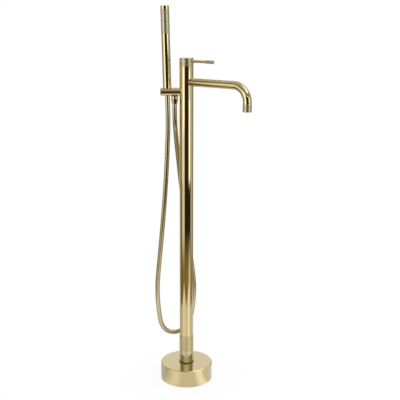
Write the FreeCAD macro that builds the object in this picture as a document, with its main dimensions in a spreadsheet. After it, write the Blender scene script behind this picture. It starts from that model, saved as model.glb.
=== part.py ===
import FreeCAD, Part
import math
import os
import Sketcher
from FreeCAD import Placement, Rotation, Vector

# Floor standing bath filler, in millimetres.
# The origin is the centre of the floor flange's underside, on the column's axis.
# +Z is up, and the spout reaches out along +X.

# ---------------------------------------------------------------- driving sizes

SIZE_TABLE = [
    # fits between pieces
    ("slip_fit", 0.15, "radial gap of pieces that slide over one another and stay"),
    ("running_fit", 0.06, "radial gap of a shaft that turns in its bearing"),
    ("moving_gap", 0.3, "gap between pieces that move past each other"),
    ("seat_gap", 0.1, "gap between a branch's saddle and the column"),
    # floor flange and cover
    ("flange_gap", 7.5, "flange's edge inside the cover's wall"),
    ("flange_thickness", 8, "floor flange"),
    ("flange_opening_radius", 27, "opening that the supplies come up through"),
    ("bolt_inset", 14, "floor bolts' axes inside the flange's edge"),
    ("bolt_hole_radius", 4.75, "floor bolts"),
    ("bolt_count", 4, "floor bolts"),
    ("cover_radius", 77.5, "round cover over the flange"),
    ("cover_height", 51, "round cover over the flange"),
    ("cover_wall", 2, "side wall of the cover"),
    ("cover_top", 2.5, "top plate of the cover"),
    ("cover_edge", 1.4, "chamfer round the cover's top"),
    # inlet block
    ("block_radius", 38, "block that takes the two supplies"),
    ("block_room", 4.5, "block's top below the cover's ceiling"),
    ("stub_height", 60, "stub that the column slides over"),
    ("socket_radius", 9.4, "crest of the half inch female thread"),
    ("socket_depth", 18, "half inch socket"),
    ("socket_offset", 15, "socket from the column's axis"),
    ("block_screw_radius", 3, "screws that hold the block to the flange"),
    ("block_screw_head_radius", 5, "screws that hold the block to the flange"),
    ("block_screw_head_height", 6, "screws that hold the block to the flange"),
    ("block_screw_inset", 6.5, "screws' axes inside the block's edge"),
    ("stub_screw_radius", 2.5, "set screws that hold the column to the stub"),
    ("stub_screw_length", 8, "set screws that hold the column to the stub"),
    ("stub_screw_height", 30, "set screws above the column's lower end"),
    # column and its foot
    ("column_radius", 20, "column tube"),
    ("column_wall", 1.5, "column tube"),
    ("column_length", 898, "column tube"),
    ("ring_step", 2.4, "thin ring on the cover, outside the column"),
    ("ring_height", 3, "thin ring on the cover"),
    ("neck_step", 1, "polished neck and knurled sleeve, outside the column"),
    ("neck_height", 36, "polished neck"),
    ("foot_sleeve_height", 46, "knurled sleeve"),
    ("sleeve_edge", 0.4, "chamfers of the knurled sleeves"),
    # supply pipes
    ("pipe_radius", 5, "hot and cold pipes in the column"),
    ("pipe_wall", 0.8, "hot and cold pipes in the column"),
    ("pipe_cover", 1.85, "metal of the stub outside the pipes"),
    ("pipe_angle", 50, "pipes to each side of the spout's direction, in degrees"),
    ("pipe_socket_depth", 10, "how far a pipe goes into the blocks"),
    # valve body
    ("valve_length", 91, "valve body in the top of the column"),
    ("valve_below_top", 6, "valve body's top below the column's top"),
    ("chamber_depth", 24, "cartridge chamber"),
    ("channel_radius", 3.4, "drilled water channels"),
    # mixing cartridge
    ("cartridge_radius", 12.9, "mixing cartridge"),
    ("cartridge_shoulder", 16.5, "height of the cartridge's wide part"),
    ("cartridge_neck_radius", 8.8, "mixing cartridge"),
    ("cartridge_neck_height", 9, "mixing cartridge"),
    ("gland_radius", 15.5, "flange of the gland nut over the cartridge"),
    ("gland_thickness", 3.5, "flange of the gland nut over the cartridge"),
    ("spindle_radius", 4, "cartridge spindle"),
    ("spindle_depth", 9, "spindle inside the cartridge"),
    ("spindle_rise", 20, "spindle above the cartridge's neck"),
    # handle cap and lever
    ("cap_height", 23.7, "knurled handle cap"),
    ("cap_wall", 3, "skirt of the cap"),
    ("cap_top", 6, "top of the cap"),
    ("cap_hub_radius", 11, "hub that grips the spindle"),
    ("cap_hub_rise", 1.2, "hub's lower face above the cap's rim"),
    ("cap_edge", 0.6, "chamfer round the cap's top"),
    ("lever_drop", 9, "lever's axis below the cap's top"),
    ("lever_radius", 4, "lever rod"),
    ("lever_start", 5.5, "lever rod's inner end from the column's axis"),
    ("lever_shoulder", 72.8, "lever rod's shoulder from the column's axis"),
    ("lever_end", 99, "lever's tip from the column's axis"),
    ("lever_tip_radius", 5.1, "knurled end of the lever"),
    ("lever_spigot_radius", 2.5, "rod's spigot in the knurled end"),
    ("lever_spigot_length", 12, "rod's spigot in the knurled end"),
    ("cap_screw_radius", 2.4, "set screw of the cap"),
    ("cap_screw_length", 6, "set screw of the cap"),
    ("cap_screw_rise", 8, "set screw above the cap's rim"),
    # spout
    ("spout_drop", 42.8, "spout's axis below the column's top"),
    ("spout_radius", 12, "spout tube"),
    ("spout_wall", 1.5, "spout tube"),
    ("spout_reach", 217.5, "outlet from the column's axis"),
    ("spout_bend", 44.4, "bend radius of the spout"),
    ("outlet_run", 3.6, "straight end of the spout tube below its bend"),
    ("outlet_sleeve_step", 0.4, "knurled sleeve outside the spout tube"),
    ("outlet_sleeve_length", 20.4, "knurled sleeve on the spout's end"),
    ("outlet_bore_step", 0.5, "bore that takes the aerator, inside the spout's bore"),
    ("aerator_height", 10, "aerator"),
    ("aerator_plate", 1.5, "perforated face of the aerator"),
    ("aerator_recess", 1, "aerator's face above the sleeve's lower end"),
    ("aerator_hole_radius", 0.8, "jets of the aerator"),
    ("spigot_radius", 7, "nipple between valve and spout"),
    ("spigot_bore", 5.2, "nipple between valve and spout"),
    ("spigot_depth", 6, "nipple inside the valve body"),
    ("spigot_length", 12, "nipple inside the spout"),
    ("seal_radius", 0.9, "section of the rubber ring on the nipple"),
    # handset holder
    ("holder_angle", 225, "holder, anticlockwise from the spout, in degrees"),
    ("holder_drop", 27.7, "holder's axis below the spout's axis"),
    ("holder_radius", 11.5, "holder"),
    ("holder_overhang", 19.7, "holder's outer end beyond the handset's axis"),
    ("holder_edge", 2.4, "chamfer of the holder's outer end"),
    ("stud_radius", 6, "hollow stud that fixes the holder to the valve"),
    ("stud_bore", 3.8, "hollow stud that fixes the holder to the valve"),
    ("stud_depth", 7, "stud inside the valve body"),
    ("stud_length", 4, "stud inside the holder"),
    ("port_reach", 13.5, "hose outlet's axis from the column's side"),
    ("port_radius", 6.8, "threaded nipple of the hose outlet"),
    ("port_bore", 4.2, "threaded nipple of the hose outlet"),
    ("port_depth", 8, "nipple inside the holder"),
    ("port_drop", 14, "nipple below the holder"),
    ("collar_radius", 9, "collar of the hose outlet"),
    ("collar_height", 2.2, "collar of the hose outlet"),
    # hose nut on the outlet
    ("nut_radius", 10, "hose nut's upper radius"),
    ("nut_land", 6, "straight part of the hose nut"),
    ("nut_tail_radius", 7.9, "hose nut's lower radius"),
    ("nut_length", 19.8, "hose nut"),
    ("washer_thickness", 1.5, "fibre washers in the hose's nuts"),
    ("barb_radius", 4.8, "stem that the hose is crimped on"),
    ("barb_bore", 3.4, "stem that the hose is crimped on"),
    # handset
    ("handset_spacing", 20.8, "handset's axis from the hose outlet's, at its foot"),
    ("handset_seat", 1, "handset's lower end below the holder's top line"),
    ("handset_lean", 1.5, "lean of the handset away from the column, in degrees"),
    ("handset_radius", 12.1, "handset"),
    ("handset_length", 226.5, "handset"),
    ("handset_core_step", 1, "core under the knurled grip, inside the handset's side"),
    ("handset_core_wall", 1.7, "core under the knurled grip"),
    ("handset_floor", 4, "thickness of the handset's lower end"),
    ("handset_ring_length", 10, "polished ring at the handset's top"),
    ("grip_length", 65.5, "knurled grip"),
    ("grip_step", 0.15, "knurled grip, outside the handset's side"),
    ("face_recess", 0.6, "spray face below the handset's top"),
    ("face_thickness", 3, "spray face"),
    ("jet_radius", 0.55, "jets of the spray face"),
    ("waterway_radius", 6, "inner tube of the handset"),
    ("waterway_wall", 0.8, "inner tube of the handset"),
    ("tail_radius", 6.8, "threaded tail of the handset"),
    ("tail_bore", 4.2, "threaded tail of the handset"),
    ("tail_length", 13, "threaded tail of the handset"),
    ("valve_insert_length", 8, "non-return valve in the handset's tail"),
    # cone nut that hangs in the holder
    ("cone_top_radius", 8.5, "cone nut at its top"),
    ("cone_end_radius", 7.8, "cone nut at its lower end"),
    ("cone_length", 21, "cone nut"),
    ("cone_gap", 0.5, "cone nut below the handset's lower end"),
    ("liner_wall", 0.9, "liner of the holder at its top"),
    # diverter
    ("diverter_angle", 135, "diverter, anticlockwise from the spout, in degrees"),
    ("diverter_radius", 8, "diverter cartridge"),
    ("diverter_depth", 11, "diverter cartridge inside the valve body"),
    ("diverter_rise", 4, "diverter cartridge outside the column"),
    ("diverter_collar_radius", 11, "collar round the diverter"),
    ("diverter_collar_length", 5, "collar round the diverter"),
    ("diverter_spindle_radius", 3, "diverter spindle"),
    ("diverter_spindle_depth", 8, "spindle inside its cartridge"),
    ("knob_radius", 11.5, "diverter knob"),
    ("knob_length", 16, "diverter knob"),
    ("knob_bore_depth", 10, "spindle inside the knob"),
    # hose
    ("hose_radius", 7, "shower hose"),
]


class Size:
    """A length together with the sheet formula that gives it."""

    def __init__(self, value, text):
        self.value = value
        self.text = text

    def __add__(self, other):
        other = as_size(other)
        return Size(self.value + other.value, f"({self.text} + {other.text})")

    def __sub__(self, other):
        other = as_size(other)
        return Size(self.value - other.value, f"({self.text} - {other.text})")

    def __mul__(self, other):
        other = as_size(other)
        return Size(self.value * other.value, f"({self.text} * {other.text})")

    def __neg__(self):
        return Size(-self.value, f"(-1 * {self.text})")


def as_size(number):
    if isinstance(number, Size):
        return number
    return Size(float(number), str(number))


def cosine(angle):
    return Size(math.cos(math.radians(angle.value)), f"cos({angle.text})")


def sine(angle):
    return Size(math.sin(math.radians(angle.value)), f"sin({angle.text})")


doc = FreeCAD.newDocument("bath_filler")
sheet = doc.addObject("Spreadsheet::Sheet", "Sizes")


class Sizes:
    """Every driving size, by its alias in the sheet."""

    def __init__(self, table):
        for row, (alias, number, note) in enumerate(table, start=1):
            sheet.set(f"A{row}", note)
            sheet.set(f"B{row}", str(number))
            sheet.setAlias(f"B{row}", alias)
            setattr(self, alias, Size(float(number), f"Sizes.{alias}"))


s = Sizes(SIZE_TABLE)
doc.recompute()

ZERO = as_size(0)
UP = Rotation()
DOWN = Rotation(Vector(1, 0, 0), 180)
pieces = []


# ---------------------------------------------------------------- ways to make a piece

def facing(angle):
    """Turn that lays a piece's own +Z level, pointing at an angle from +X."""
    return Rotation(Vector(0, 0, 1), angle.value) * Rotation(Vector(0, 1, 0), 90)


def place(piece, at, turn=UP):
    """Put a piece's own origin at three sheet formulas."""
    at = [as_size(part) for part in at]
    piece.Placement = Placement(Vector(*[part.value for part in at]), turn)
    for axis, part in zip("xyz", at):
        piece.setExpression(".Placement.Base." + axis, part.text)


def along(angle, distance, height):
    """Place on a level line that leaves the column's axis at an angle."""
    return (cosine(angle) * distance, sine(angle) * distance, height)


def keep(piece, label):
    """Count an object as a piece of the bath filler."""
    piece.Label = label
    pieces.append(piece)
    return piece


def origin_plane(body, role):
    return [part for part in body.Origin.OriginFeatures if part.Role == role][0]


def hold_point(sketch, line, x, y):
    """Tie a line's first point to two sheet formulas, both zero or more."""
    for kind, part, axis in (("DistanceX", x, -2), ("DistanceY", y, -1)):
        if part.value == 0:
            sketch.addConstraint(Sketcher.Constraint("PointOnObject", line, 1, axis))
            continue
        rule = Sketcher.Constraint(kind, -1, 1, line, 1, part.value)
        index = sketch.addConstraint(rule)
        sketch.setExpression(f"Constraints[{index}]", part.text)


def outline(body, name, role, points):
    """Closed outline through points, on one of the body's own planes."""
    points = [(as_size(x), as_size(y)) for x, y in points]
    sketch = body.newObject("Sketcher::SketchObject", name)
    sketch.AttachmentSupport = (origin_plane(body, role), "")
    sketch.MapMode = "FlatFace"
    corners = [Vector(x.value, y.value, 0) for x, y in points]
    count = len(corners)
    for index in range(count):
        line = Part.LineSegment(corners[index], corners[(index + 1) % count])
        sketch.addGeometry(line)
    for index in range(count):
        join = ((index + 1) % count, 1)
        sketch.addConstraint(Sketcher.Constraint("Coincident", index, 2, *join))
    for index, (x, y) in enumerate(points):
        hold_point(sketch, index, x, y)
    return sketch


def circle(body, name, role, radius, x=ZERO, y=ZERO, up=ZERO):
    """Circle at a point of one of the body's own planes, raised by up."""
    radius, x, y, up = [as_size(part) for part in (radius, x, y, up)]
    sketch = body.newObject("Sketcher::SketchObject", name)
    sketch.AttachmentSupport = (origin_plane(body, role), "")
    sketch.MapMode = "FlatFace"
    centre = Vector(x.value, y.value, 0)
    sketch.addGeometry(Part.Circle(centre, Vector(0, 0, 1), radius.value))
    size = sketch.addConstraint(Sketcher.Constraint("Radius", 0, radius.value))
    sketch.setExpression(f"Constraints[{size}]", radius.text)
    for kind, part, axis in (("DistanceX", x, -2), ("DistanceY", y, -1)):
        if part.value == 0:
            sketch.addConstraint(Sketcher.Constraint("PointOnObject", 0, 3, axis))
            continue
        index = sketch.addConstraint(Sketcher.Constraint(kind, -1, 1, 0, 3, part.value))
        sketch.setExpression(f"Constraints[{index}]", part.text)
    sketch.setExpression(".AttachmentOffset.Base.z", up.text)
    return sketch


def turned(name, points, at=(0, 0, 0), turn=UP):
    """Piece turned about its own Z from an outline of (radius, height) points."""
    body = doc.addObject("PartDesign::Body", name)
    sketch = outline(body, name + "_outline", "XZ_Plane", points)
    lathe = body.newObject("PartDesign::Revolution", name + "_turned")
    lathe.Profile = sketch
    lathe.ReferenceAxis = (sketch, ["V_Axis"])
    lathe.Angle = 360
    place(body, at, turn)
    return body


def ring(name, outer, inner, low, high, at=(0, 0, 0), turn=UP, edge=None):
    """Plain ring between two heights, its outer edges chamfered if asked."""
    if edge is None:
        points = [(inner, low), (outer, low), (outer, high), (inner, high)]
        return turned(name, points, at, turn)
    points = [(inner, low), (outer - edge, low), (outer, low + edge)]
    points += [(outer, high - edge), (outer - edge, high), (inner, high)]
    return turned(name, points, at, turn)


def rod(name, radius, length, at, turn=UP):
    """Plain cylinder from a point, along its own +Z."""
    solid = doc.addObject("Part::Cylinder", name)
    solid.setExpression("Radius", as_size(radius).text)
    solid.setExpression("Height", as_size(length).text)
    place(solid, at, turn)
    return solid


def joined(name, solids):
    fused = doc.addObject("Part::MultiFuse", name)
    fused.Shapes = solids
    return fused


def cut(name, base, tools):
    """Base with the tools taken out of it."""
    result = doc.addObject("Part::Cut", name)
    result.Base = base
    result.Tool = tools[0] if len(tools) == 1 else joined(name + "_tools", tools)
    return result


def both_sides(name, base, mirror_name):
    """The same solid on the other side of the XZ plane as well."""
    other = doc.addObject("Part::Mirroring", mirror_name)
    other.Source = base
    other.Normal = Vector(0, 1, 0)
    pair = doc.addObject("Part::Compound", name)
    pair.Links = [base, other]
    return pair


# ---------------------------------------------------------------- floor flange and cover

cover_hole = s.column_radius + s.slip_fit * 3
cover_inner = s.cover_radius - s.cover_wall
cover_ceiling = s.cover_height - s.cover_top
flange_radius = cover_inner - s.flange_gap
bolt_circle_radius = flange_radius - s.bolt_inset
block_screw_offset = s.block_radius - s.block_screw_inset

# The flange is bolted to the floor. Its middle is open for the two supplies.
flange_body = doc.addObject("PartDesign::Body", "floor_flange")
flange_plan = circle(flange_body, "flange_plan", "XY_Plane", flange_radius)
flange_plate = flange_body.newObject("PartDesign::Pad", "flange_plate")
flange_plate.Profile = flange_plan
flange_plate.setExpression("Length", s.flange_thickness.text)
doc.recompute()
opening_plan = circle(
    flange_body, "flange_opening_plan", "XY_Plane", s.flange_opening_radius
)
flange_opening = flange_body.newObject("PartDesign::Pocket", "flange_opening")
flange_opening.Profile = opening_plan
flange_opening.Type = "ThroughAll"
flange_opening.Reversed = True
doc.recompute()
bolt_plan = circle(
    flange_body,
    "bolt_plan",
    "XY_Plane",
    s.bolt_hole_radius,
    x=bolt_circle_radius * cosine(as_size(45)),
    y=bolt_circle_radius * sine(as_size(45)),
)
bolt_hole = flange_body.newObject("PartDesign::Pocket", "bolt_hole")
bolt_hole.Profile = bolt_plan
bolt_hole.Type = "ThroughAll"
bolt_hole.Reversed = True
doc.recompute()
bolt_holes = flange_body.newObject("PartDesign::PolarPattern", "bolt_holes")
bolt_holes.Originals = [bolt_hole]
bolt_holes.Axis = (origin_plane(flange_body, "Z_Axis"), [""])
bolt_holes.Angle = 360
bolt_holes.setExpression("Occurrences", s.bolt_count.text)
flange_body.Tip = bolt_holes
doc.recompute()
tapped_plan = circle(
    flange_body, "tapped_plan", "XY_Plane", s.block_screw_radius, x=block_screw_offset
)
tapped_hole = flange_body.newObject("PartDesign::Pocket", "tapped_hole")
tapped_hole.Profile = tapped_plan
tapped_hole.Type = "ThroughAll"
tapped_hole.Reversed = True
doc.recompute()
tapped_holes = flange_body.newObject("PartDesign::PolarPattern", "tapped_holes")
tapped_holes.Originals = [tapped_hole]
tapped_holes.Axis = (origin_plane(flange_body, "Z_Axis"), [""])
tapped_holes.Angle = 360
tapped_holes.Occurrences = 2
flange_body.Tip = tapped_holes
keep(flange_body, "floor_flange")

# The cover is a turned cup, open below, that hides the flange.
cover = turned(
    "base_cover",
    [
        (cover_inner, 0),
        (s.cover_radius, 0),
        (s.cover_radius, s.cover_height - s.cover_edge),
        (s.cover_radius - s.cover_edge, s.cover_height),
        (cover_hole, s.cover_height),
        (cover_hole, cover_ceiling),
        (cover_inner, cover_ceiling),
    ],
)
keep(cover, "base_cover")

# ---------------------------------------------------------------- inlet block

block_floor = s.flange_thickness
block_top = cover_ceiling - s.block_room
block_height = block_top - block_floor
column_bore = s.column_radius - s.column_wall
stub_radius = column_bore - s.slip_fit
stub_top = block_top + s.stub_height
pipe_foot = stub_top - s.pipe_socket_depth
pipe_circle = stub_radius - s.pipe_cover - s.pipe_radius
pipe_x = cosine(s.pipe_angle) * pipe_circle
pipe_y = sine(s.pipe_angle) * pipe_circle
screw_seat = block_top - s.block_screw_head_height

block_blank = turned(
    "block_blank",
    [
        (0, block_floor),
        (s.block_radius, block_floor),
        (s.block_radius, block_top),
        (stub_radius, block_top),
        (stub_radius, stub_top),
        (0, stub_top),
    ],
)
socket_base = (ZERO, s.socket_offset, block_floor)
socket_bore = rod("socket_bore", s.socket_radius, s.socket_depth, socket_base)
pipe_base = (pipe_x, pipe_y, pipe_foot)
pipe_bore = rod("block_pipe_bore", s.pipe_radius, s.pipe_socket_depth + 1, pipe_base)
channel_foot = block_floor + s.socket_depth * 0.5
channel_base = (pipe_x, pipe_y, channel_foot)
channel_bore = rod(
    "block_channel_bore", s.channel_radius, pipe_foot - channel_foot + 1, channel_base
)
side_bores = joined("block_side_bores", [socket_bore, pipe_bore, channel_bore])
bore_pair = both_sides("block_bores", side_bores, "block_far_bores")

screw_bores = []
for side, sign in (("near", 1), ("far", -1)):
    screw_x = block_screw_offset * sign
    shank = rod(
        f"block_{side}_shank_bore",
        s.block_screw_radius,
        block_height + 1,
        (screw_x, ZERO, block_floor - 0.5),
    )
    head = rod(
        f"block_{side}_head_bore",
        s.block_screw_head_radius + s.slip_fit,
        s.block_screw_head_height + 1,
        (screw_x, ZERO, screw_seat),
    )
    screw_bores += [shank, head]

stub_screw_z = block_top + s.stub_screw_height
stub_screw_start = s.column_radius - s.stub_screw_length
for side, angle in (("front", 0), ("back", 180)):
    screw_bores.append(
        rod(
            f"stub_{side}_screw_bore",
            s.stub_screw_radius,
            s.stub_screw_length + 1,
            along(as_size(angle), stub_screw_start, stub_screw_z),
            facing(as_size(angle)),
        )
    )
block = cut("inlet_block", block_blank, [bore_pair] + screw_bores)
keep(block, "inlet_block")

# Two cap screws in the flange's tapped holes pull the block down on it.
block_screws = []
screw_tip = s.moving_gap
for side, sign in (("near", 1), ("far", -1)):
    screw_x = block_screw_offset * sign
    blank = turned(
        f"block_{side}_screw_blank",
        [
            (0, screw_tip),
            (s.block_screw_radius, screw_tip),
            (s.block_screw_radius, screw_seat),
            (s.block_screw_head_radius, screw_seat),
            (s.block_screw_head_radius, block_top),
            (0, block_top),
        ],
        (screw_x, ZERO, ZERO),
    )
    key = doc.addObject("Part::Prism", f"block_{side}_screw_key")
    key.Polygon = 6
    key.setExpression("Circumradius", (s.block_screw_radius * 0.96).text)
    key.setExpression("Height", s.block_screw_head_height.text)
    place(key, (screw_x, ZERO, block_top - s.block_screw_head_height * 0.6))
    block_screws.append(cut(f"block_{side}_screw", blank, [key]))
block_screw_set = doc.addObject("Part::Compound", "block_screws")
block_screw_set.Links = block_screws
keep(block_screw_set, "block_screws")

# Two set screws go through the column into the stub, under the polished neck.
stub_screws = []
for side, angle in (("front", 0), ("back", 180)):
    blank = rod(
        f"stub_{side}_screw_blank",
        s.stub_screw_radius,
        s.stub_screw_length,
        along(as_size(angle), stub_screw_start, stub_screw_z),
        facing(as_size(angle)),
    )
    key = doc.addObject("Part::Prism", f"stub_{side}_screw_key")
    key.Polygon = 6
    key.setExpression("Circumradius", (s.stub_screw_radius * 0.58).text)
    key.setExpression("Height", s.stub_screw_length.text)
    place(
        key,
        along(as_size(angle), s.column_radius - s.stub_screw_length * 0.4, stub_screw_z),
        facing(as_size(angle)),
    )
    stub_screws.append(cut(f"stub_{side}_screw", blank, [key]))
stub_screw_set = doc.addObject("Part::Compound", "column_set_screws")
stub_screw_set.Links = stub_screws
keep(stub_screw_set, "column_set_screws")

# ---------------------------------------------------------------- column and its foot

column_foot = block_top
column_top = column_foot + s.column_length
sleeve_bore = s.column_radius + s.slip_fit
ring_top = s.cover_height + s.ring_height
neck_top = ring_top + s.neck_height
foot_sleeve_top = neck_top + s.foot_sleeve_height
neck_radius = s.column_radius + s.neck_step
spout_height = column_top - s.spout_drop
holder_height = spout_height - s.holder_drop

column_blank = ring(
    "column_blank", s.column_radius, column_bore, column_foot, column_top
)
spout_hole = rod(
    "column_spout_hole",
    s.spigot_radius + s.slip_fit,
    s.column_radius + 1,
    (ZERO, ZERO, spout_height),
    facing(ZERO),
)
holder_hole = rod(
    "column_holder_hole",
    s.stud_radius + s.slip_fit,
    s.column_radius + 1,
    (ZERO, ZERO, holder_height),
    facing(s.holder_angle),
)
diverter_hole = rod(
    "column_diverter_hole",
    s.diverter_radius + s.slip_fit,
    s.column_radius + 1,
    (ZERO, ZERO, holder_height),
    facing(s.diverter_angle),
)
column_screw_hole = rod(
    "column_screw_hole",
    s.stub_screw_radius,
    s.column_radius * 2 + 2,
    (-s.column_radius - 1, ZERO, stub_screw_z),
    facing(ZERO),
)
column = cut(
    "column_tube",
    column_blank,
    [spout_hole, holder_hole, diverter_hole, column_screw_hole],
)
keep(column, "column_tube")

cover_ring = ring(
    "cover_ring",
    s.column_radius + s.ring_step,
    sleeve_bore,
    s.cover_height,
    ring_top,
    edge=s.sleeve_edge,
)
keep(cover_ring, "cover_ring")
foot_neck = ring("foot_neck", neck_radius, sleeve_bore, ring_top, neck_top)
keep(foot_neck, "foot_neck")
foot_sleeve = ring(
    "foot_sleeve",
    neck_radius,
    sleeve_bore,
    neck_top,
    foot_sleeve_top,
    edge=s.sleeve_edge,
)
keep(foot_sleeve, "foot_sleeve")

# ---------------------------------------------------------------- valve body and pipes

valve_radius = column_bore - s.slip_fit
valve_top = column_top - s.valve_below_top
valve_foot = valve_top - s.valve_length
chamber_floor = valve_top - s.chamber_depth
chamber_radius = s.cartridge_radius + s.slip_fit
pipe_head = valve_foot + s.pipe_socket_depth

valve_blank = turned(
    "valve_blank",
    [
        (0, valve_foot),
        (valve_radius, valve_foot),
        (valve_radius, valve_top),
        (chamber_radius, valve_top),
        (chamber_radius, chamber_floor),
        (0, chamber_floor),
    ],
)
valve_pipe_bore = rod(
    "valve_pipe_bore",
    s.pipe_radius,
    s.pipe_socket_depth + 1,
    (pipe_x, pipe_y, valve_foot - 1),
)
valve_channel = rod(
    "valve_channel",
    s.channel_radius,
    chamber_floor - pipe_head + 1,
    (pipe_x, pipe_y, pipe_head - 0.5),
)
valve_side_bores = joined("valve_side_bores", [valve_pipe_bore, valve_channel])
valve_supply = both_sides("valve_supply_bores", valve_side_bores, "valve_far_bores")
mixed_channel = rod(
    "mixed_channel",
    s.channel_radius,
    chamber_floor - holder_height + 1,
    (ZERO, ZERO, holder_height - 0.5),
)
spout_channel = rod(
    "spout_channel", s.channel_radius, valve_radius, (0, 0, spout_height), facing(ZERO)
)
spout_port = rod(
    "spout_port",
    s.spigot_radius + s.slip_fit,
    s.spigot_depth + 2,
    (valve_radius - s.spigot_depth, ZERO, spout_height),
    facing(ZERO),
)
holder_channel = rod(
    "holder_channel",
    s.channel_radius,
    valve_radius,
    (0, 0, holder_height),
    facing(s.holder_angle),
)
holder_port = rod(
    "holder_port",
    s.stud_radius,
    s.stud_depth + 2,
    along(s.holder_angle, valve_radius - s.stud_depth, holder_height),
    facing(s.holder_angle),
)
diverter_port = rod(
    "diverter_port",
    s.diverter_radius,
    s.diverter_depth + 2,
    along(s.diverter_angle, valve_radius - s.diverter_depth, holder_height),
    facing(s.diverter_angle),
)
valve_body = cut(
    "valve_body",
    valve_blank,
    [
        valve_supply,
        mixed_channel,
        spout_channel,
        spout_port,
        holder_channel,
        holder_port,
        diverter_port,
    ],
)
keep(valve_body, "valve_body")

# Hot is the pipe on the +Y side, cold the one on the -Y side.
for side, sign in (("hot_pipe", 1), ("cold_pipe", -1)):
    pipe = ring(
        side,
        s.pipe_radius,
        s.pipe_radius - s.pipe_wall,
        pipe_foot,
        pipe_head,
        (pipe_x, pipe_y * sign, ZERO),
    )
    keep(pipe, side)

# ---------------------------------------------------------------- mixing cartridge

shoulder_z = chamber_floor + s.cartridge_shoulder
cartridge_top = shoulder_z + s.cartridge_neck_height
spindle_foot = cartridge_top - s.spindle_depth
spindle_top = cartridge_top + s.spindle_rise
spindle_bore = s.spindle_radius + s.running_fit

cartridge = turned(
    "mixing_cartridge",
    [
        (0, chamber_floor),
        (s.cartridge_radius, chamber_floor),
        (s.cartridge_radius, shoulder_z),
        (s.cartridge_neck_radius, shoulder_z),
        (s.cartridge_neck_radius, cartridge_top),
        (spindle_bore, cartridge_top),
        (spindle_bore, spindle_foot),
        (0, spindle_foot),
    ],
)
keep(cartridge, "mixing_cartridge")

# The gland nut screws into the chamber and holds the cartridge down.
gland_bore = s.cartridge_neck_radius + s.slip_fit
gland = turned(
    "gland_nut",
    [
        (gland_bore, shoulder_z),
        (s.cartridge_radius, shoulder_z),
        (s.cartridge_radius, valve_top),
        (s.gland_radius, valve_top),
        (s.gland_radius, valve_top + s.gland_thickness),
        (gland_bore, valve_top + s.gland_thickness),
    ],
)
keep(gland, "gland_nut")

spindle = turned(
    "cartridge_spindle",
    [
        (0, spindle_foot + s.moving_gap),
        (s.spindle_radius, spindle_foot + s.moving_gap),
        (s.spindle_radius, spindle_top),
        (0, spindle_top),
    ],
)
keep(spindle, "cartridge_spindle")

# ---------------------------------------------------------------- handle cap and lever

cap_foot = column_top + s.moving_gap
cap_crown = cap_foot + s.cap_height
cap_bore = s.column_radius - s.cap_wall
cap_ceiling = cap_crown - s.cap_top
hub_foot = cap_foot + s.cap_hub_rise
lever_z = cap_crown - s.lever_drop
cap_screw_z = cap_foot + s.cap_screw_rise

cap_blank = turned(
    "cap_blank",
    [
        (s.spindle_radius, hub_foot),
        (s.cap_hub_radius, hub_foot),
        (s.cap_hub_radius, cap_ceiling),
        (cap_bore, cap_ceiling),
        (cap_bore, cap_foot),
        (s.column_radius, cap_foot),
        (s.column_radius, cap_crown - s.cap_edge),
        (s.column_radius - s.cap_edge, cap_crown),
        (0, cap_crown),
        (0, spindle_top),
        (s.spindle_radius, spindle_top),
    ],
)
lever_hole = rod(
    "cap_lever_hole",
    s.lever_radius,
    s.column_radius,
    (s.lever_start, ZERO, lever_z),
    facing(ZERO),
)
cap_screw_hole = rod(
    "cap_screw_hole",
    s.cap_screw_radius,
    s.column_radius + 1,
    (0, 0, cap_screw_z),
    facing(as_size(180)),
)
cap = cut("handle_cap", cap_blank, [lever_hole, cap_screw_hole])
keep(cap, "handle_cap")

cap_screw_blank = rod(
    "cap_screw_blank",
    s.cap_screw_radius,
    s.cap_screw_length,
    along(as_size(180), s.spindle_radius, cap_screw_z),
    facing(as_size(180)),
)
cap_screw_key = doc.addObject("Part::Prism", "cap_screw_key")
cap_screw_key.Polygon = 6
cap_screw_key.setExpression("Circumradius", (s.cap_screw_radius * 0.58).text)
cap_screw_key.setExpression("Height", s.cap_screw_length.text)
place(
    cap_screw_key,
    along(as_size(180), s.spindle_radius + s.cap_screw_length * 0.6, cap_screw_z),
    facing(as_size(180)),
)
keep(cut("cap_set_screw", cap_screw_blank, [cap_screw_key]), "cap_set_screw")

lever_bar = s.lever_shoulder - s.lever_start
lever_rod = turned(
    "lever_rod",
    [
        (0, 0),
        (s.lever_radius, 0),
        (s.lever_radius, lever_bar),
        (s.lever_spigot_radius, lever_bar),
        (s.lever_spigot_radius, lever_bar + s.lever_spigot_length),
        (0, lever_bar + s.lever_spigot_length),
    ],
    (s.lever_start, 0, lever_z),
    facing(ZERO),
)
keep(lever_rod, "lever_rod")

lever_tip_length = s.lever_end - s.lever_shoulder
lever_tip_edge = s.sleeve_edge * 1.5
lever_tip = turned(
    "lever_tip",
    [
        (s.lever_spigot_radius, 0),
        (s.lever_tip_radius - lever_tip_edge, 0),
        (s.lever_tip_radius, lever_tip_edge),
        (s.lever_tip_radius, lever_tip_length - lever_tip_edge),
        (s.lever_tip_radius - lever_tip_edge, lever_tip_length),
        (0, lever_tip_length),
        (0, s.lever_spigot_length),
        (s.lever_spigot_radius, s.lever_spigot_length),
    ],
    (s.lever_shoulder, 0, lever_z),
    facing(ZERO),
)
keep(lever_tip, "lever_tip")

# ---------------------------------------------------------------- spout

# The spout is one bent tube. A saddle at its root fits the column.
spout_bend_x = s.spout_reach - s.spout_bend
spout_bend_z = spout_height - s.spout_bend
spout_end = spout_bend_z - s.outlet_run
outlet_height = spout_end - s.outlet_sleeve_length

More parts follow.
